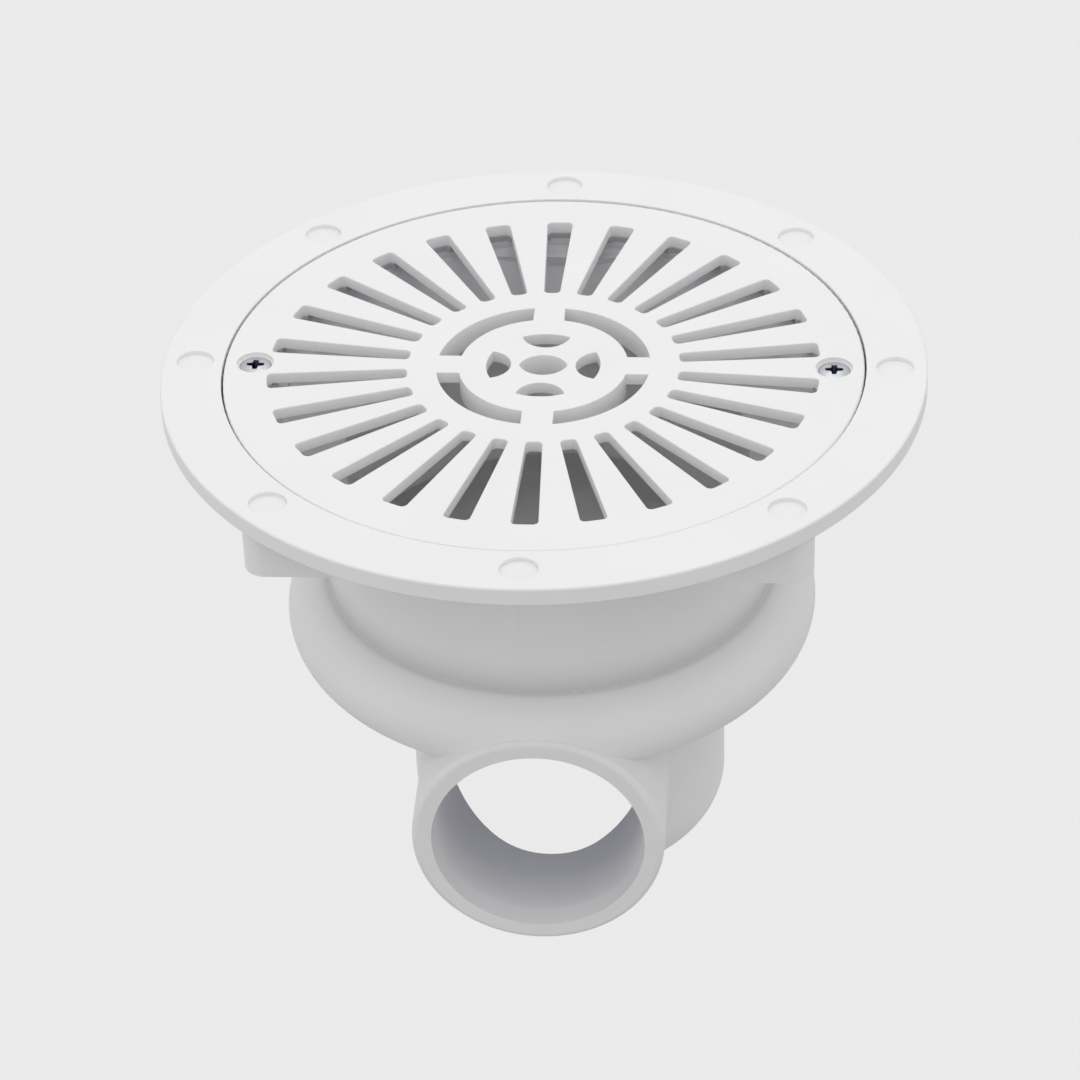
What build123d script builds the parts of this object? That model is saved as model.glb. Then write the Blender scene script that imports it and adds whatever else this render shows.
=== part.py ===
from build123d import *
from math import sqrt
import os

# A main drain for the floor of a concrete swimming pool, in millimetres.
# The origin is the centre of the flange's top face, which lies flush with the pool floor.
# +Z points up into the pool, and the side outlet opens towards -Y.

# Flange: the flat ring that shows on the pool floor
flange_radius = 115.0
flange_width = 18.2
flange_edge = 5.7
flange_round = 0.8
mark_inset = 9.7
mark_radius = 5.7
mark_depth = 1.2
mark_count = 8

# Grate and the seat that it drops into
grate_gap = 0.6
grate_drop = 0.3
grate_face = 3.6
grate_rim = 6.0
grate_rim_width = 14.4
grate_round = 0.5
seat_width = 13.8
seat_floor = 4.0
seat_lip = 2.5
seat_wall = 3.4

# Radial slots of the grate
slot_count = 26
slot_land = 8.8
slot_margin = 13.2
slot_inner_width = 4.8
slot_outer_width = 8.0
slot_round = 1.6
slot_edge_round = 0.35

# Curved slots round the hub, and the flower of holes in its middle
arc_land = 8.2
arc_width = 6.8
arc_bridge = 9.4
arc_round = 0.8
hub_rib_width = 2.4
hub_rib_depth = 7.6
petal_circle = 17.2
petal_radius = 7.5
petal_round = 0.5
eye_length = 14.6
eye_width = 10.9
eye_boss_wall = 1.9
eye_boss_depth = 8.4

# Countersunk screws and the brass inserts that they run into
screw_inset = 9.1
screw_well_radius = 5.6
screw_well_depth = 1.2
screw_head_radius = 4.9
screw_head_height = 2.6
screw_head_gap = 0.12
screw_shank_radius = 2.45
screw_length = 15.0
screw_hole_radius = 2.8
cross_length = 5.4
cross_width = 1.0
cross_depth = 1.6
insert_radius = 3.6
insert_length = 10.0
insert_bore_gap = 0.05
insert_flats = 24
insert_flat_depth = 0.25
boss_radius = 6.4
boss_floor = 3.0
boss_spare = 2.5

# Square skirt that anchors the flange in the concrete
skirt_inset = 1.45
skirt_wall = 4.0
skirt_corner = 6.5
skirt_bottom = 20.6

# Funnel below the grate, and the spigot that is bonded into the neck
funnel_width = 18.0
funnel_wall = 4.0
spigot_gap = 0.15
spigot_wall = 3.0
spigot_length = 9.0

# Neck and bowl: a pipe that swells into a rounded bead
neck_wall = 4.0
neck_rib_radius = 6.0
neck_rib_rise = 0.7
neck_rib_x = -4.5
neck_rib_length = 50.0
bead_radius = 13.0
bead_top = 71.3
crease_round = 1.0
bowl_wall = 4.0
bowl_floor_fall = 5.0

# Vertical chamber under the bowl, set a little off the centre line
chamber_radius = 49.0
chamber_x = 4.6
chamber_y = -7.4
chamber_drop = 6.0
chamber_round = 18.0
chamber_floor = 4.5
sump_radius = 43.1
sump_x = 1.4
sump_round = 12.0
bottom_port_radius = 37.5
port_rim_wall = 3.0
port_rim_height = 5.0

# Side outlet: a socket for a pipe of 63 mm
outlet_bore_radius = 31.55
outlet_wall = 6.55
outlet_proud = 0.6
outlet_drop = 20.2
outlet_outer_round = 2.0
outlet_lead_length = 7.0
outlet_lead_rise = 0.6

# Sizes that follow from those above
pocket_radius = flange_radius - flange_width
grate_radius = pocket_radius - grate_gap
mark_circle = flange_radius - mark_inset
arc_inner = petal_circle + arc_land
arc_outer = arc_inner + arc_width
slot_inner = arc_outer + slot_land
slot_outer = grate_radius - slot_margin
screw_circle = grate_radius - screw_inset
skirt_side = 2 * ((flange_radius - skirt_inset - skirt_corner) / sqrt(2) + skirt_corner)
pocket_depth = grate_drop + grate_rim
seat_inner = pocket_radius - seat_width
seat_outer = pocket_radius + seat_wall
seat_bottom = pocket_depth + seat_floor
neck_inner = seat_inner - funnel_width
neck_radius = neck_inner + neck_wall
funnel_slant = funnel_wall * sqrt(2)
funnel_start = pocket_depth + seat_lip
neck_top = funnel_start + seat_inner + funnel_slant - neck_radius
spigot_radius = neck_inner - spigot_gap
spigot_inner = spigot_radius - spigot_wall
spigot_top = funnel_start + seat_inner - spigot_inner
spigot_bottom = neck_top + spigot_length
insert_top = pocket_depth
insert_hole_bottom = insert_top + insert_length + boss_spare
boss_bottom = insert_hole_bottom + boss_floor
bead_middle = bead_top + bead_radius
bead_bottom = bead_middle + bead_radius
outlet_radius = outlet_bore_radius + outlet_wall
outlet_reach = neck_radius + bead_radius + outlet_proud
outlet_depth = bead_bottom + outlet_drop
outlet_top = outlet_depth - outlet_radius
chamber_bottom = outlet_depth + outlet_radius + chamber_drop
OVERCUT = 1.0


def disc(radius, top, bottom, x=0.0, y=0.0):
    """A flat round slab between two heights below the flange's face."""
    return Pos(x, y, -bottom) * Cylinder(radius, bottom - top, align=(Align.CENTER, Align.CENTER, Align.MIN))


def turned(points):
    """A closed outline of radius and height, turned about the centre line."""
    outline = make_face(Polyline(*points, close=True))
    return revolve(Plane.XZ * outline, Axis.Z)


def plate(sketch, top, bottom):
    """A flat sketch given thickness between two heights below the flange's face."""
    return extrude(Pos(0, 0, -bottom) * sketch, amount=bottom - top)


def screw_places():
    """The two screws lie on the X axis, midway between two slots."""
    return [Pos(side * screw_circle, 0, 0) for side in (-1, 1)]


def edges_at(shape, radius, height):
    """Round edges of one radius that lie at one height."""
    found = shape.edges().filter_by(GeomType.CIRCLE)
    level = [e for e in found if abs(e.center().Z - height) < 0.01]
    return [e for e in level if abs(e.radius - radius) < 0.01]


# Flange body

def seat_and_funnel():
    """Flange, seat cup, funnel and spigot in one turned section."""
    return turned([
        (pocket_radius, 0),
        (flange_radius, 0),
        (flange_radius, -flange_edge),
        (seat_outer, -flange_edge),
        (seat_outer, -seat_bottom),
        (seat_inner + seat_lip + funnel_slant - seat_floor, -seat_bottom),
        (neck_radius, -neck_top),
        (spigot_radius, -neck_top),
        (spigot_radius, -spigot_bottom),
        (spigot_inner, -spigot_bottom),
        (spigot_inner, -spigot_top),
        (seat_inner, -funnel_start),
        (seat_inner, -pocket_depth),
        (pocket_radius, -pocket_depth),
    ])


def skirt():
    """Square wall under the flange, open below."""
    inner_side = skirt_side - 2 * skirt_wall
    outer = RectangleRounded(skirt_side, skirt_side, skirt_corner)
    inner = RectangleRounded(inner_side, inner_side, skirt_corner - skirt_wall)
    wall = plate(outer - inner, flange_edge / 2, skirt_bottom)
    return wall - disc(pocket_radius, 0, pocket_depth) - disc(seat_inner, 0, seat_bottom)


def make_flange_body():
    body = seat_and_funnel()
    body = fillet(edges_at(body, flange_radius, 0), flange_round)
    body = fillet(edges_at(body, flange_radius, -flange_edge), flange_round / 2)
    body += skirt()
    for place in screw_places():
        body += place * disc(boss_radius, pocket_depth + seat_floor / 2, boss_bottom)
        body += place * disc(boss_radius, pocket_depth, seat_bottom)
    for place in screw_places():
        body -= place * disc(insert_radius, insert_top - OVERCUT, insert_hole_bottom)
    for place in PolarLocations(mark_circle, mark_count):
        body -= place * disc(mark_radius, -OVERCUT, mark_depth)
    return body


# Grate

def slot_outline():
    """One slot on the Y axis, wider outside, with small round corners."""
    half_in = slot_inner_width / 2
    half_out = slot_outer_width / 2
    corners = [(-half_in, slot_inner), (half_in, slot_inner), (half_out, slot_outer), (-half_out, slot_outer)]
    face = make_face(Polyline(*corners, close=True))
    return fillet(face.vertices(), slot_round)


def arc_outlines():
    """Four curved slots, parted by bridges on the X and Y axes."""
    ring = Circle(arc_outer) - Circle(arc_inner)
    bridges = Rectangle(arc_bridge, 3 * arc_outer) + Rectangle(3 * arc_outer, arc_bridge)
    pieces = ring - bridges
    return [fillet(face.vertices(), arc_round) for face in pieces.faces()]


def lens(length, width):
    """Pointed oval bounded by two equal arcs, with its points on the X axis."""
    half = length / 2
    tall = width / 2
    radius = (half ** 2 + tall ** 2) / (2 * tall)
    return Pos(0, tall - radius) * Circle(radius) & Pos(0, radius - tall) * Circle(radius)


def petal_outline():
    """Petal hole: a circle centred on the hub's edge, cut off by that edge."""
    petal = Pos(0, petal_circle) * Circle(petal_radius) & Circle(petal_circle)
    return fillet(petal.vertices(), petal_round)


def hub_ribs():
    """Two round ribs under the grate, along both sides of the curved slots."""
    inner = Circle(arc_inner) - Circle(arc_inner - hub_rib_width)
    outer = Circle(arc_outer + hub_rib_width) - Circle(arc_outer)
    return [plate(ring, grate_drop, grate_drop + hub_rib_depth) for ring in (inner, outer)]


def grate_blank():
    """Grate with its deeper rim, hub ribs and hub boss, before any holes."""
    top = grate_drop
    face = disc(grate_radius, top, top + grate_face)
    rim = disc(grate_radius, top, top + grate_rim)
    rim -= disc(grate_radius - grate_rim_width, top - OVERCUT, top + grate_rim + OVERCUT)
    boss = plate(lens(eye_length + 2 * eye_boss_wall, eye_width + 2 * eye_boss_wall), top, top + eye_boss_depth)
    blank = face + rim + boss + hub_ribs()
    return fillet(edges_at(blank, grate_radius, -top), grate_round)


def screw_hole():
    """Well, countersink and clearance hole for one screw."""
    well_bottom = grate_drop + screw_well_depth
    wide = screw_head_radius + screw_head_gap
    cone = Pos(0, 0, -(well_bottom + screw_head_height)) * Cone(
        screw_shank_radius + screw_head_gap, wide, screw_head_height, align=(Align.CENTER, Align.CENTER, Align.MIN))
    well = disc(screw_well_radius, 0, well_bottom)
    return well + cone + disc(screw_hole_radius, well_bottom, pocket_depth + OVERCUT)


def slot_top_edges(grate):
    """Edges that the radial slots have in the grate's top face."""
    found = []
    for edge in grate.edges():
        middle = edge.center()
        reach = sqrt(middle.X ** 2 + middle.Y ** 2)
        level = abs((edge @ 0).Z + grate_drop) + abs((edge @ 1).Z + grate_drop)
        if level < 0.01 and slot_inner - slot_round < reach < slot_outer + slot_round:
            found.append(edge)
    return found


def make_grate():
    grate = grate_blank()
    cuts = [Rot(0, 0, 360 / slot_count * step) * slot_outline() for step in range(slot_count)]
    cuts += arc_outlines()
    cuts += [Rot(0, 0, 90 * step) * petal_outline() for step in range(4)]
    cuts.append(lens(eye_length, eye_width))
    through = grate_drop + eye_boss_depth + OVERCUT
    grate -= [plate(cut, 0, through) for cut in cuts]
    grate = fillet(slot_top_edges(grate), slot_edge_round)
    grate -= [place * screw_hole() for place in screw_places()]
    return grate


# Fasteners

def make_screw():
    """Countersunk screw with a cross recess, standing at the centre line."""
    top = grate_drop + screw_well_depth
    head = Pos(0, 0, -(top + screw_head_height)) * Cone(
        screw_shank_radius, screw_head_radius, screw_head_height, align=(Align.CENTER, Align.CENTER, Align.MIN))
    shank = disc(screw_shank_radius, top + screw_head_height / 2, top + screw_length)
    screw = head + shank
    screw = chamfer(edges_at(screw, screw_shank_radius, -(top + screw_length)), screw_shank_radius / 4)
    for turn in (0, 90):
        arm = Box(cross_length, cross_width, cross_depth, align=(Align.CENTER, Align.CENTER, Align.MAX))
        screw -= Pos(0, 0, -top) * Rot(0, 0, turn) * arm
    return screw


def make_insert():
    """Brass insert with flats pressed into its outside."""
    insert = disc(insert_radius, insert_top, insert_top + insert_length)
    insert -= disc(screw_shank_radius + insert_bore_gap, insert_top - OVERCUT, insert_top + insert_length + OVERCUT)
    groove = Pos(0, 0, -(insert_top + insert_length / 2)) * Cylinder(insert_flat_depth, insert_length / 2)
    for step in range(insert_flats):
        insert -= Rot(0, 0, 360 / insert_flats * step) * Pos(insert_radius, 0, 0) * groove
    return insert


# Sump bowl: neck, bead, chamber and socket in one moulding

def bowl_profile(neck_side, bead_side, top, floor):
    """Half section of the neck, bead and sloping floor, with radius and height as its axes."""
    neck = make_face(Polyline((0, -top), (neck_side, -top), (neck_side, -bead_middle), (0, -bead_middle), close=True))
    bead = Pos(neck_radius, -bead_middle) * Circle(bead_side)
    core = make_face(Polyline(
        (0, -bead_middle), (neck_radius, -bead_middle), (neck_radius, -floor),
        (sump_radius, -(floor + bowl_floor_fall)), (0, -(floor + bowl_floor_fall)), close=True))
    return neck + bead + core


def bowl_outside():
    """Neck and bead turned as one outline, with the crease between them rounded."""
    profile = bowl_profile(neck_radius, bead_radius, neck_top, bead_bottom)
    creases = [v for v in profile.vertices() if abs(v.X - neck_radius) < 0.01 and abs(v.Y + bead_top) < 0.01]
    return revolve(Plane.XZ * fillet(creases, crease_round), Axis.Z)


def bowl_inside():
    """Hollow of the neck, bead and floor, one wall inside the outline."""
    profile = bowl_profile(neck_inner, bead_radius - bowl_wall, neck_top - OVERCUT, bead_bottom - bowl_wall)
    return revolve(Plane.XZ * profile, Axis.Z)


def neck_rib():
    """Low rounded rib on the front of the neck, which fades out halfway down its length."""
    reach = neck_radius + neck_rib_rise - neck_rib_radius
    thin = neck_rib_radius - 2 * neck_rib_rise
    rib = Cone(thin, neck_rib_radius, neck_rib_length, align=(Align.CENTER, Align.CENTER, Align.MAX))
    return Pos(neck_rib_x, -reach, -neck_top) * rib


def outlet_tube(radius, inner_end, outer_end):
    """Level round bar along the outlet, from one reach to another."""
    length = outer_end - inner_end
    bar = Cylinder(radius, length, align=(Align.CENTER, Align.CENTER, Align.MIN))
    return Pos(0, -inner_end, -outlet_depth) * Rot(90, 0, 0) * bar


def chamber_outside():
    """Upright barrel with a well rounded lower edge and a flat rim round its port."""
    barrel = disc(chamber_radius, bead_middle, chamber_bottom, chamber_x, chamber_y)
    barrel = fillet(edges_at(barrel, chamber_radius, -chamber_bottom), chamber_round)
    rim_radius = bottom_port_radius + port_rim_wall
    return barrel + disc(rim_radius, chamber_bottom - port_rim_height, chamber_bottom, sump_x, chamber_y)


def chamber_inside():
    """Hollow of the barrel and the round hole through its floor."""
    floor = chamber_bottom - chamber_floor
    hollow = disc(sump_radius, outlet_top - OVERCUT, floor, sump_x, chamber_y)
    hollow = fillet(edges_at(hollow, sump_radius, -floor), sump_round)
    port = disc(bottom_port_radius, bead_bottom, chamber_bottom + OVERCUT, sump_x, chamber_y)
    return hollow + port


def outlet_lead_in():
    """Slight taper at the mouth of the socket, which guides the pipe in."""
    flare = outlet_bore_radius + outlet_lead_rise
    cone = Cone(outlet_bore_radius, flare, outlet_lead_length, align=(Align.CENTER, Align.CENTER, Align.MIN))
    return Pos(0, -(outlet_reach - outlet_lead_length), -outlet_depth) * Rot(90, 0, 0) * cone


def make_sump_bowl():
    inner_end = -chamber_y
    pipe = outlet_tube(outlet_radius, inner_end, outlet_reach)
    rim = pipe.edges().filter_by(GeomType.CIRCLE).sort_by(Axis.Y)[0]
    pipe = fillet(rim, outlet_outer_round)
    bowl = bowl_outside() + neck_rib() + chamber_outside() + pipe
    bowl -= bowl_inside() - pipe
    bowl -= chamber_inside()
    bowl -= outlet_tube(outlet_bore_radius, inner_end, outlet_reach)
    bowl -= outlet_lead_in()
    return bowl


def write_part(name, shape):
    shape.label = name
    export_step(shape, f"parts/{name}.step")


def main():
    os.makedirs("parts", exist_ok=True)
    write_part("flange_body", make_flange_body())
    write_part("grate", make_grate())
    write_part("sump_bowl", make_sump_bowl())
    screw = make_screw()
    insert = make_insert()
    for side, place in zip(("left", "right"), screw_places()):
        write_part(f"grate_screw_{side}", place * screw)
        write_part(f"thread_insert_{side}", place * insert)


main()
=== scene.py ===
import math
import bpy
from mathutils import Matrix, Vector
from mathutils.geometry import tessellate_polygon


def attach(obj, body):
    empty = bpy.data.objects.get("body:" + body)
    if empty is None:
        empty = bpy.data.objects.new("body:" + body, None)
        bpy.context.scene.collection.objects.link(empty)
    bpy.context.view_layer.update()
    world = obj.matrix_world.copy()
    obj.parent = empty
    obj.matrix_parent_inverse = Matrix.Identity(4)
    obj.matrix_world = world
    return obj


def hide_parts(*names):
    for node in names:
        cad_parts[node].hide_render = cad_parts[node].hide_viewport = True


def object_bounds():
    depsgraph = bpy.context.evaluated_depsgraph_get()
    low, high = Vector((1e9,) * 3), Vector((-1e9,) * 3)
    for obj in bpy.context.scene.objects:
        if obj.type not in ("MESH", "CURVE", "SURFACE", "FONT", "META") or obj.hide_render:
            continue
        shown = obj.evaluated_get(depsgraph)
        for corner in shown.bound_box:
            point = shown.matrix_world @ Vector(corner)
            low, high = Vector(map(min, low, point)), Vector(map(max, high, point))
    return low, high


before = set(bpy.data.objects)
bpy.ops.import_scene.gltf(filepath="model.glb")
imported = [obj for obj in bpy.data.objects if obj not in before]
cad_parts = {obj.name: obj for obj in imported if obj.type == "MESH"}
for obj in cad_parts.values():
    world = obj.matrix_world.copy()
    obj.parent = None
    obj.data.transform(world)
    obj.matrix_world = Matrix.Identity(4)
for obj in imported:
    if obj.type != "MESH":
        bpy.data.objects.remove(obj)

cad_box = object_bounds()
scene = bpy.context.scene

MM = 0.001

# Floor and world. What the camera sees of them is set apart from the light that they give.
FLOOR_Z = cad_box[0][2] - 0.30
FLOOR_HALF = 8.0
FLOOR_SEEN = 0.87
FLOOR_BOUNCE = 0.34
SHADOW_SHARE = 0.08
WORLD_LIGHT = 0.90
WORLD_SEEN = 0.826

# Lamps: name, place, aim, size in metres and power in watts
LAMPS = (
    ("top", (0, 0.8, 1.5), (0, 0, -0.06), 1.0, 3.0),
    ("left", (-1.6, -0.6, -0.05), (0, 0, -0.08), 0.9, 0.9),
    ("right", (1.6, -0.4, -0.05), (0, 0, -0.08), 0.9, 0.3),
)

# Camera at the photo's viewing angle
CAMERA_PLACE = (0.0900, -1.0439, 0.6764)
CAMERA_AIM = (-0.0005, -0.0288, -0.0443)
CAMERA_ROLL = -0.03948
CAMERA_LENS = 138.43
CAMERA_SENSOR = 36

# Grate screws, in millimetres. HEAD_TOP and SCREW_END lie below the flange's face, and the other
# depths lie below HEAD_TOP.
SCREW_X = 87.1
SCREW_END = 16.48
HEAD_TOP = 1.5
HEAD_RADIUS = 4.88
HEAD_HEIGHT = 2.6
HEAD_DOME = 0.6
THREAD_RADIUS = 2.44
THREAD_ROOT = 2.0
THREAD_PITCH = 0.8
THREAD_START = 3.4
THREAD_RUN_IN = 0.8
THREAD_RUN_OUT = 1.2
TIP_RADIUS = 1.5
TIP_LENGTH = 0.6
SCREW_LENGTH = SCREW_END - HEAD_TOP
HEAD_PROFILE = (
    (3.0, -0.92 * HEAD_DOME),
    (3.7, -0.74 * HEAD_DOME),
    (4.3, -0.46 * HEAD_DOME),
    (4.7, -0.16 * HEAD_DOME),
    (HEAD_RADIUS, 0.05),
    (HEAD_RADIUS, 0.3),
    (THREAD_RADIUS, HEAD_HEIGHT),
    (THREAD_RADIUS, 3.3),
)
SCREW_STEPS = 48
THREAD_ROWS = 116

# Cross recess of a screw: half length, half width and inner corner, at its mouth and its floor
CROSS_MOUTH = (2.7, 0.66, 0.95)
CROSS_FLOOR = (1.15, 0.32, 0.42)
CROSS_DEPTH = 2.1

# Brass inserts, in millimetres below the flange's face
INSERT_TOP = 6.32
INSERT_END = 16.28
INSERT_LENGTH = INSERT_END - INSERT_TOP
INSERT_RADIUS = 3.59
INSERT_BORE = 2.5
KNURL_DEPTH = 0.16
KNURL_COUNT = 18
KNURL_LEAD = 1.3
KNURL_END = 0.7
KNURL_GROOVE = 0.8
INSERT_STEPS = 144
INSERT_ROWS = 64

SMOOTH_ANGLE = 40

# Surface of the white plastic: flow marks and a fine grain
FLOW_SCALE = 26
FLOW_DETAIL = 4
FLOW_DARKER = 0.975
FLOW_ROUGHNESS = 0.06
GRAIN_SCALE = 1400
GRAIN_DETAIL = 3
GRAIN_DEPTH = 0.0002

# Surface of the metal: fine scratches
SCRATCH_SCALE = 900
SCRATCH_DETAIL = 5
SCRATCH_DEPTH = 0.00005
SCRATCH_SMOOTHER = 0.08
SCRATCH_ROUGHER = 0.1

# A screw's recess, painted dark as shade, in metres: heights that the levels are stretched over,
# levels with the share of bright metal at each (the rest is painted shade), and the radius at which
# the metal turns bright
RECESS_HEIGHTS = (-0.0030, 0.0006)
RECESS_LEVELS = ((0.16, 1), (0.18, 0), (0.90, 0), (0.97, 1))
RECESS_RADIUS = (0.0028, 0.0030)

# Places where shade is painted onto the white plastic as darker tones, in metres. Each pair gives
# where a tone starts to change and where it has changed.
FUNNEL_SLOPE = (0.0920, 0.0923)
SPIGOT_RADIUS = (0.0630, 0.0635)
FUNNEL_HEIGHT = (-0.0055, -0.0045)
RIM_RADIUS = (0.0790, 0.0815)
RIM_HEIGHT = (-0.0046, -0.0038)
BORE_DEPTH = 0.1175
BORE_RADIUS = (0.0325, 0.0330)
BORE_MOUTH = (-0.0770, -0.0590)
BORE_REAR = (-0.0300, -0.0200)
NECK_RADIUS = 0.069
CREASE_DEPTH = 0.0713
CREASE_HEIGHT = 0.014
CREASE_NARROWING = 4.0
CREASE_FALL = 2.0
CREASE_SHARE = 0.7
# Darker tones painted as shade: inside the funnel, under the grate's rim, deep in the bore and in the
# crease
PAINTED_SHADE_INSIDE = (0.77, 0.77, 0.795)
PAINTED_SHADE_RIM = (0.46, 0.46, 0.49)
PAINTED_SHADE_BORE = (0.63, 0.635, 0.69)
PAINTED_SHADE_CREASE = (0.45, 0.45, 0.46)


# Nodes

def node_base(name, roughness, metallic=0.0, specular=0.35):
    mat = bpy.data.materials.new(name)
    mat.use_nodes = True
    nodes, links = mat.node_tree.nodes, mat.node_tree.links
    shader = nodes["Principled BSDF"]
    shader.inputs["Metallic"].default_value = metallic
    shader.inputs["Specular IOR Level"].default_value = specular
    shader.inputs["Roughness"].default_value = roughness
    place = nodes.new("ShaderNodeTexCoord").outputs["Object"]
    return mat, nodes, links, shader, place


def split(nodes, links, vector):
    """The vector's x, y and z."""
    made = nodes.new("ShaderNodeSeparateXYZ")
    links.new(vector, made.inputs["Vector"])
    return tuple(made.outputs)


def noise(nodes, links, vector, scale, detail):
    made = nodes.new("ShaderNodeTexNoise")
    made.inputs["Scale"].default_value = scale
    made.inputs["Detail"].default_value = detail
    links.new(vector, made.inputs["Vector"])
    return made.outputs["Fac"]


def ranged(nodes, links, value, low, high, start=0.0, end=1.0):
    """Low where the value is start, high where it is end, and held beyond them."""
    made = nodes.new("ShaderNodeMapRange")
    made.inputs["From Min"].default_value = start
    made.inputs["From Max"].default_value = end
    made.inputs["To Min"].default_value = low
    made.inputs["To Max"].default_value = high
    links.new(value, made.inputs["Value"])
    return made.outputs["Result"]


def above(nodes, links, value, limits):
    """0 up to the first limit and 1 from the second on."""
    return ranged(nodes, links, value, 0.0, 1.0, *limits)


def below(nodes, links, value, limits):
    """1 up to the first limit and 0 from the second on."""
    return ranged(nodes, links, value, 1.0, 0.0, *limits)


def ramp(nodes, links, value, stops):
    made = nodes.new("ShaderNodeValToRGB")
    elements = made.color_ramp.elements
    while len(elements) < len(stops):
        elements.new(0.5)
    for element, (position, colour) in zip(elements, stops):
        element.position = position
        element.color = (*colour, 1)
    links.new(value, made.inputs["Fac"])
    return made.outputs["Color"]


def bumped(nodes, links, height, shader, strength, distance):
    made = nodes.new("ShaderNodeBump")
    made.inputs["Strength"].default_value = strength
    made.inputs["Distance"].default_value = distance
    links.new(height, made.inputs["Height"])
    links.new(made.outputs["Normal"], shader.inputs["Normal"])


def calc(nodes, links, operation, first, second):
    """One sum on two values, either of which may be a plain number."""
    made = nodes.new("ShaderNodeMath")
    made.operation = operation
    for socket, value in zip(made.inputs, (first, second)):
        if isinstance(value, (int, float)):
            socket.default_value = value
        else:
            links.new(value, socket)
    return made.outputs["Value"]


def reach(nodes, links, first, second):
    """Length of the two values taken as the sides of a right angle."""
    first_square = calc(nodes, links, "MULTIPLY", first, first)
    second_square = calc(nodes, links, "MULTIPLY", second, second)
    return calc(nodes, links, "SQRT", calc(nodes, links, "ADD", first_square, second_square), 0.0)


# Places on the object that set where shade is painted. Each is 1 there and 0 elsewhere.

# Mask for the shade painted inside the funnel under the grate
def under_grate(nodes, links, x, y, z):
    """Inside of the funnel and the spigot under the grate, and neither the flange nor any outside."""
    radius = reach(nodes, links, x, y)
    slope = below(nodes, links, calc(nodes, links, "SUBTRACT", radius, z), FUNNEL_SLOPE)
    inside = calc(nodes, links, "MAXIMUM", slope, below(nodes, links, radius, SPIGOT_RADIUS))
    return calc(nodes, links, "MULTIPLY", inside, below(nodes, links, z, FUNNEL_HEIGHT))


# Mask for the shade painted on the grate's rim below its face
def under_face(nodes, links, x, y, z):
    """The grate's rim below its face, outside the slots' ends."""
    outside = above(nodes, links, reach(nodes, links, x, y), RIM_RADIUS)
    return calc(nodes, links, "MULTIPLY", outside, below(nodes, links, z, RIM_HEIGHT))


# Mask for the shade painted deep in the socket's bore
def in_socket(nodes, links, x, y, z):
    """Deep in the side socket's bore, fading out at its mouth and in the chamber."""
    level = calc(nodes, links, "ADD", z, BORE_DEPTH)
    inside = below(nodes, links, reach(nodes, links, x, level), BORE_RADIUS)
    deep = above(nodes, links, y, BORE_MOUTH)
    front = below(nodes, links, y, BORE_REAR)
    return calc(nodes, links, "MULTIPLY", inside, calc(nodes, links, "MULTIPLY", deep, front))


# Mask for the shade painted in the crease between neck and bead
def in_crease(nodes, links, x, y, z):
    """The crease between neck and bead, fading slowly up and down and quickly outwards."""
    outwards = calc(nodes, links, "SUBTRACT", reach(nodes, links, x, y), NECK_RADIUS)
    across = calc(nodes, links, "MULTIPLY", outwards, CREASE_NARROWING)
    up = calc(nodes, links, "ADD", z, CREASE_DEPTH)
    near = below(nodes, links, reach(nodes, links, across, up), (0.0, CREASE_HEIGHT))
    steep = calc(nodes, links, "POWER", near, CREASE_FALL)
    return calc(nodes, links, "MULTIPLY", steep, CREASE_SHARE)


# Mask for the screws' painted shade: 0 in the cross recess, where the shade is painted
def outside_recess(nodes, links, x, y, z):
    """A screw's head and thread, and not the cross recess."""
    stops = [(position, (share, share, share)) for position, share in RECESS_LEVELS]
    level = ramp(nodes, links, above(nodes, links, z, RECESS_HEIGHTS), stops)
    radius = above(nodes, links, reach(nodes, links, x, y), RECESS_RADIUS)
    return calc(nodes, links, "MAXIMUM", level, radius)


# Materials

def plastic(name, colour, roughness, grain, painted_shades):
    """Moulded white plastic: soft sheen, faint flow marks, fine grain, and painted shade, a darker
    tone, where it is hidden.
    """
    mat, nodes, links, shader, place = node_base(name, roughness)
    flow = noise(nodes, links, place, FLOW_SCALE, FLOW_DETAIL)
    sheen = ranged(nodes, links, flow, roughness - FLOW_ROUGHNESS, roughness + FLOW_ROUGHNESS)
    links.new(sheen, shader.inputs["Roughness"])
    darker = [c * FLOW_DARKER for c in colour]
    tone = ramp(nodes, links, flow, [(0.3, darker), (0.7, colour)])
    axes = split(nodes, links, place)
    # Each pair mixes in a darker tone as painted shade at its place
    for where, painted_tone in painted_shades:
        mix = nodes.new("ShaderNodeMix")
        mix.data_type = "RGBA"
        links.new(where(nodes, links, *axes), mix.inputs["Factor"])
        links.new(tone, mix.inputs["A"])
        mix.inputs["B"].default_value = (*painted_tone, 1)
        tone = mix.outputs["Result"]
    links.new(tone, shader.inputs["Base Color"])
    bumped(nodes, links, noise(nodes, links, place, GRAIN_SCALE, GRAIN_DETAIL), shader,
           grain, GRAIN_DEPTH)
    return mat


def metal(name, colour, deep, roughness, grain):
    """Turned metal with fine scratches; a screw's cross recess gets painted shade, a darker tone."""
    mat, nodes, links, shader, place = node_base(name, roughness, metallic=1.0, specular=0.5)
    if deep:
        bright = outside_recess(nodes, links, *split(nodes, links, place))
        tone = ramp(nodes, links, bright, [(0.0, deep), (1.0, colour)])
        links.new(tone, shader.inputs["Base Color"])
    else:
        shader.inputs["Base Color"].default_value = (*colour, 1)
    scratch = noise(nodes, links, place, SCRATCH_SCALE, SCRATCH_DETAIL)
    sheen = ranged(nodes, links, scratch, roughness - SCRATCH_SMOOTHER, roughness + SCRATCH_ROUGHER)
    links.new(sheen, shader.inputs["Roughness"])
    bumped(nodes, links, scratch, shader, grain, SCRATCH_DEPTH)
    return mat


def dress(node, material):
    for slot in node.material_slots:
        slot.material = material
    if not node.material_slots:
        node.data.materials.append(material)


# Meshes

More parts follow.
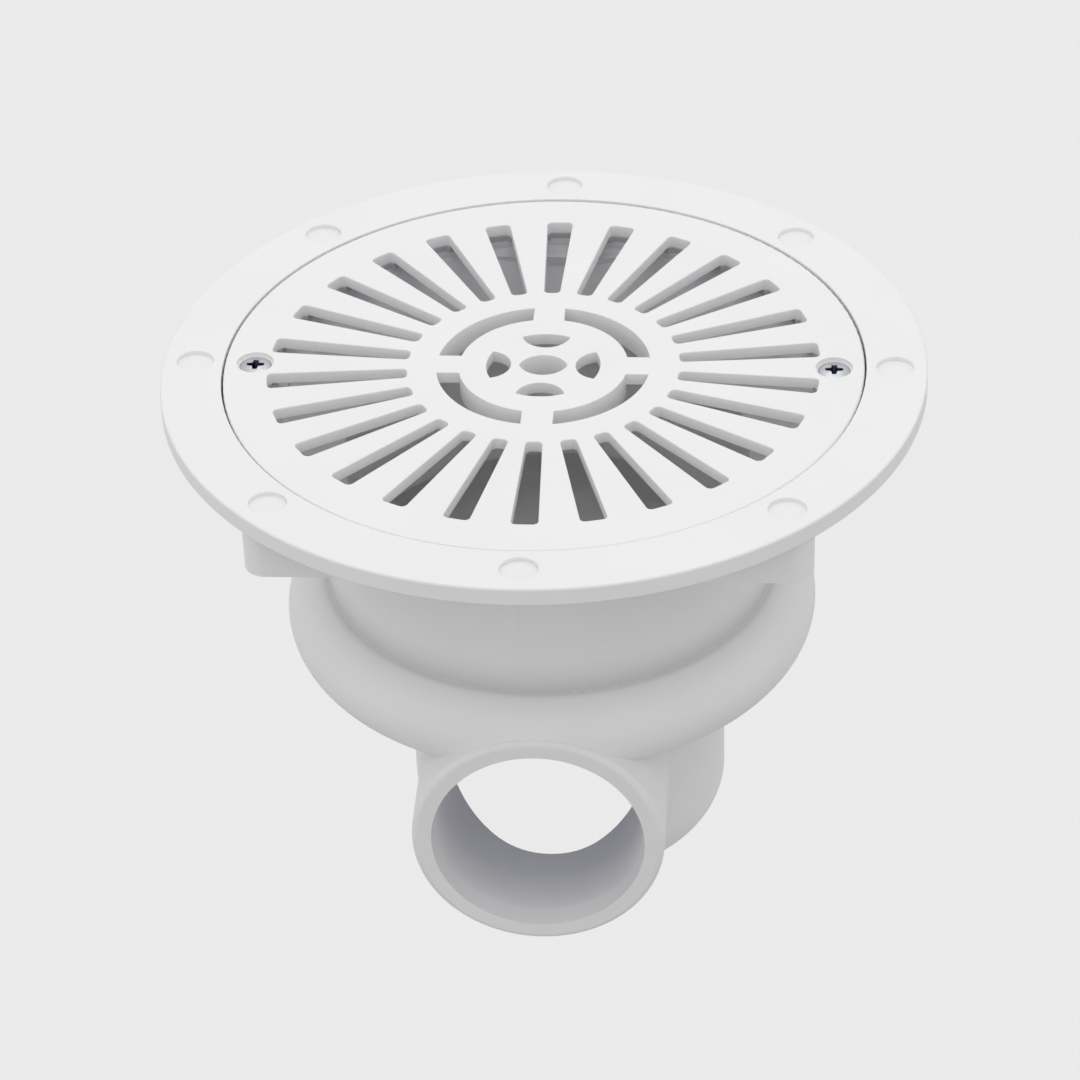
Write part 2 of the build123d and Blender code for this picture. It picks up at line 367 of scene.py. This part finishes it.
def add_mesh(name, points, faces, material, place):
    """A smooth object from points in millimetres round its own place."""
    mesh = bpy.data.meshes.new(name)
    mesh.from_pydata([tuple(c * MM for c in p) for p in points], [], faces)
    mesh.validate()
    mesh.materials.append(material)
    ob = bpy.data.objects.new(name, mesh)
    ob.location = [c * MM for c in place]
    bpy.context.collection.objects.link(ob)
    mesh.polygons.foreach_set("use_smooth", [True] * len(mesh.polygons))
    mesh.set_sharp_from_angle(angle=math.radians(SMOOTH_ANGLE))
    return ob


def angles(count):
    return [2 * math.pi * k / count for k in range(count)]


def turned(radius, angle, depth):
    return radius * math.cos(angle), radius * math.sin(angle), -depth


def ring_faces(rows, count):
    """Quads between rows of points that each go once round."""
    faces = []
    for row in range(rows - 1):
        for step in range(count):
            after = (step + 1) % count
            a, b = row * count + step, row * count + after
            faces.append((a, a + count, b + count, b))
    return faces


def cross_outline(half_length, half_width, corner):
    """Outline of a cross recess with slightly flared arms."""
    quarter = [(half_length, -half_width), (half_length, half_width), (corner, corner)]
    outline = []
    for turn in range(4):
        c, s = round(math.cos(turn * math.pi / 2)), round(math.sin(turn * math.pi / 2))
        outline += [(c * x - s * y, s * x + c * y) for x, y in quarter]
    return outline


def thread_radius(depth, angle):
    """Sharp thread: the crest winds down with the angle and fades out at both ends."""
    turn = (depth / THREAD_PITCH - angle / (2 * math.pi)) % 1.0
    crest = 1 - abs(2 * turn - 1)
    fade = min(1.0, (depth - THREAD_START) / THREAD_RUN_IN, (SCREW_LENGTH - depth) / THREAD_RUN_OUT)
    return THREAD_ROOT + (THREAD_RADIUS - THREAD_ROOT) * crest * max(0.0, fade)


def screw(name, side, material):
    """Raised countersunk screw: cross recess in a low dome, thread down to a blunt end."""
    turns = angles(SCREW_STEPS)
    points = [turned(radius, a, depth) for radius, depth in HEAD_PROFILE for a in turns]
    thread_length = SCREW_LENGTH - TIP_LENGTH - THREAD_START
    for row in range(THREAD_ROWS):
        depth = THREAD_START + thread_length * row / (THREAD_ROWS - 1)
        points += [turned(thread_radius(depth, a), a, depth) for a in turns]
    last = len(points)
    points += [turned(TIP_RADIUS, a, SCREW_LENGTH) for a in turns]
    faces = ring_faces(len(points) // SCREW_STEPS, SCREW_STEPS)
    faces.append(tuple(last + k for k in reversed(range(SCREW_STEPS))))

    mouth = cross_outline(*CROSS_MOUTH)
    lip, corners = len(points), len(mouth)
    points += [(x, y, HEAD_DOME) for x, y in mouth]
    points += [(x, y, -CROSS_DEPTH) for x, y in cross_outline(*CROSS_FLOOR)]
    for k in range(corners):
        after = (k + 1) % corners
        faces.append((lip + k, lip + after, lip + corners + after, lip + corners + k))
    faces.append(tuple(lip + corners + k for k in range(corners)))

    dome = [Vector(points[k]) for k in range(SCREW_STEPS)]
    hole = [Vector((x, y, 0)) for x, y in mouth]
    index = [*range(SCREW_STEPS), *range(lip, lip + corners)]
    for triangle in tessellate_polygon([dome, hole]):
        a, b, c = (index[k] for k in triangle)
        side_b, side_c = Vector(points[b]) - Vector(points[a]), Vector(points[c]) - Vector(points[a])
        faces.append((a, b, c) if side_b.cross(side_c).z > 0 else (a, c, b))
    return add_mesh(name, points, faces, material, (side * SCREW_X, 0, -HEAD_TOP))


def knurl(depth, angle):
    """Diamond knurls in two bands, with a plain groove between them and at both ends."""
    in_end = depth < KNURL_END or depth > INSERT_LENGTH - KNURL_END
    if in_end or abs(depth - INSERT_LENGTH / 2) < KNURL_GROOVE:
        return 0.0
    step, lead = angle * KNURL_COUNT / (2 * math.pi), depth / KNURL_LEAD
    one = abs((step + lead) % 1.0 - 0.5)
    two = abs((step - lead) % 1.0 - 0.5)
    return KNURL_DEPTH * 2 * min(one, two)


def insert(name, side, material):
    """Brass insert with a knurled outside and a plain bore."""
    turns = angles(INSERT_STEPS)
    points = []
    for row in range(INSERT_ROWS):
        depth = INSERT_LENGTH * row / (INSERT_ROWS - 1)
        points += [turned(INSERT_RADIUS - KNURL_DEPTH + knurl(depth, a), a, depth) for a in turns]
    points += [turned(INSERT_BORE, a, depth) for depth in (INSERT_LENGTH, 0) for a in turns]
    faces = ring_faces(len(points) // INSERT_STEPS, INSERT_STEPS)
    last = len(points) - INSERT_STEPS
    for k in range(INSERT_STEPS):
        after = (k + 1) % INSERT_STEPS
        faces.append((last + k, k, after, last + after))
    return add_mesh(name, points, faces, material, (side * SCREW_X, 0, -INSERT_TOP))


# Floor, light and camera

def grey(level):
    return level, level, level, 1


def seen_rays(nodes, links):
    """1 for what the camera sees, directly, mirrored or through glass, and 0 for other light."""
    path = nodes.new("ShaderNodeLightPath")
    seen = calc(nodes, links, "MAXIMUM", path.outputs["Is Camera Ray"], path.outputs["Is Glossy Ray"])
    return calc(nodes, links, "MAXIMUM", seen, path.outputs["Is Transmission Ray"])


def floor():
    """Plain floor: the camera sees its pale grey, and a share of it takes the object's shadow."""
    mesh = bpy.data.meshes.new("floor")
    corners = [(-1, -1), (1, -1), (1, 1), (-1, 1)]
    mesh.from_pydata([(x * FLOOR_HALF, y * FLOOR_HALF, FLOOR_Z) for x, y in corners], [],
                     [(0, 1, 2, 3)])
    ob = bpy.data.objects.new("floor", mesh)
    bpy.context.collection.objects.link(ob)
    mat = bpy.data.materials.new("floor_pale")
    mat.use_nodes = True
    nodes, links = mat.node_tree.nodes, mat.node_tree.links
    nodes.clear()
    out = nodes.new("ShaderNodeOutputMaterial")
    matt = nodes.new("ShaderNodeBsdfDiffuse")
    matt.inputs["Color"].default_value = grey(FLOOR_BOUNCE)
    pale = nodes.new("ShaderNodeEmission")
    pale.inputs["Color"].default_value = grey(FLOOR_SEEN)
    pale.inputs["Strength"].default_value = 1.0
    share = calc(nodes, links, "MULTIPLY", seen_rays(nodes, links), 1 - SHADOW_SHARE)
    mix = nodes.new("ShaderNodeMixShader")
    links.new(share, mix.inputs["Fac"])
    links.new(matt.outputs["BSDF"], mix.inputs[1])
    links.new(pale.outputs["Emission"], mix.inputs[2])
    links.new(mix.outputs["Shader"], out.inputs["Surface"])
    mesh.materials.append(mat)


def studio():
    """Even white light from all round; past the floor's edge the camera sees the floor's grey."""
    world = bpy.data.worlds.new("studio")
    world.use_nodes = True
    nodes, links = world.node_tree.nodes, world.node_tree.links
    light = nodes["Background"]
    light.inputs["Color"].default_value = grey(1)
    light.inputs["Strength"].default_value = WORLD_LIGHT
    pale = nodes.new("ShaderNodeBackground")
    pale.inputs["Color"].default_value = grey(WORLD_SEEN)
    pale.inputs["Strength"].default_value = 1.0
    mix = nodes.new("ShaderNodeMixShader")
    links.new(seen_rays(nodes, links), mix.inputs["Fac"])
    links.new(light.outputs["Background"], mix.inputs[1])
    links.new(pale.outputs["Background"], mix.inputs[2])
    links.new(mix.outputs["Shader"], nodes["World Output"].inputs["Surface"])
    scene.world = world


def area(name, place, aim, size, power):
    data = bpy.data.lights.new(name, "AREA")
    data.shape = "DISK"
    data.size = size
    data.energy = power
    ob = bpy.data.objects.new(name, data)
    ob.location = place
    ob.rotation_euler = (Vector(aim) - Vector(place)).to_track_quat("-Z", "Y").to_euler()
    bpy.context.collection.objects.link(ob)


def camera():
    data = bpy.data.cameras.new("camera")
    data.lens = CAMERA_LENS
    data.sensor_width = CAMERA_SENSOR
    data.sensor_fit = "HORIZONTAL"
    ob = bpy.data.objects.new("camera", data)
    place = Vector(CAMERA_PLACE)
    turn = (Vector(CAMERA_AIM) - place).to_track_quat("-Z", "Y").to_matrix().to_4x4()
    ob.matrix_world = Matrix.Translation(place) @ turn @ Matrix.Rotation(CAMERA_ROLL, 4, "Z")
    bpy.context.collection.objects.link(ob)
    scene.camera = ob


# The steel's dark third colour is shade painted into the screws' cross recesses
STEEL = metal("screw_steel_turned", (0.55, 0.56, 0.58), (0.035, 0.038, 0.085), 0.36, 0.2)
BRASS = metal("insert_brass_turned", (0.78, 0.62, 0.3), None, 0.36, 0.2)
# Each plastic's list pairs a place with the darker tone of shade painted there
NODE_MATERIALS = {
    "flange_body": plastic("white_flange_plastic", (0.875, 0.875, 0.88), 0.42, 0.12,
                           [(under_grate, PAINTED_SHADE_INSIDE)]),
    "grate": plastic("white_grate_plastic", (0.88, 0.88, 0.885), 0.40, 0.12,
                     [(under_face, PAINTED_SHADE_RIM)]),
    "sump_bowl": plastic("white_sump_plastic", (0.84, 0.84, 0.847), 0.46, 0.14,
                         [(in_socket, PAINTED_SHADE_BORE), (in_crease, PAINTED_SHADE_CREASE)]),
    "grate_screw_left": STEEL,
    "grate_screw_right": STEEL,
    "thread_insert_left": BRASS,
    "thread_insert_right": BRASS,
}
for name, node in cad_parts.items():
    dress(node, NODE_MATERIALS[name])

for word, side in (("left", -1), ("right", 1)):
    bolt = screw(f"screw_{word}", side, STEEL)
    sleeve = insert(f"insert_{word}", side, BRASS)
    for piece, node, slot in ((bolt, f"grate_screw_{word}", "screw_steel"),
                              (sleeve, f"thread_insert_{word}", "insert_brass")):
        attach(piece, "root")
        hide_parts(node)

floor()
for lamp in LAMPS:
    area(*lamp)
camera()
studio()
scene.view_settings.view_transform = "Standard"
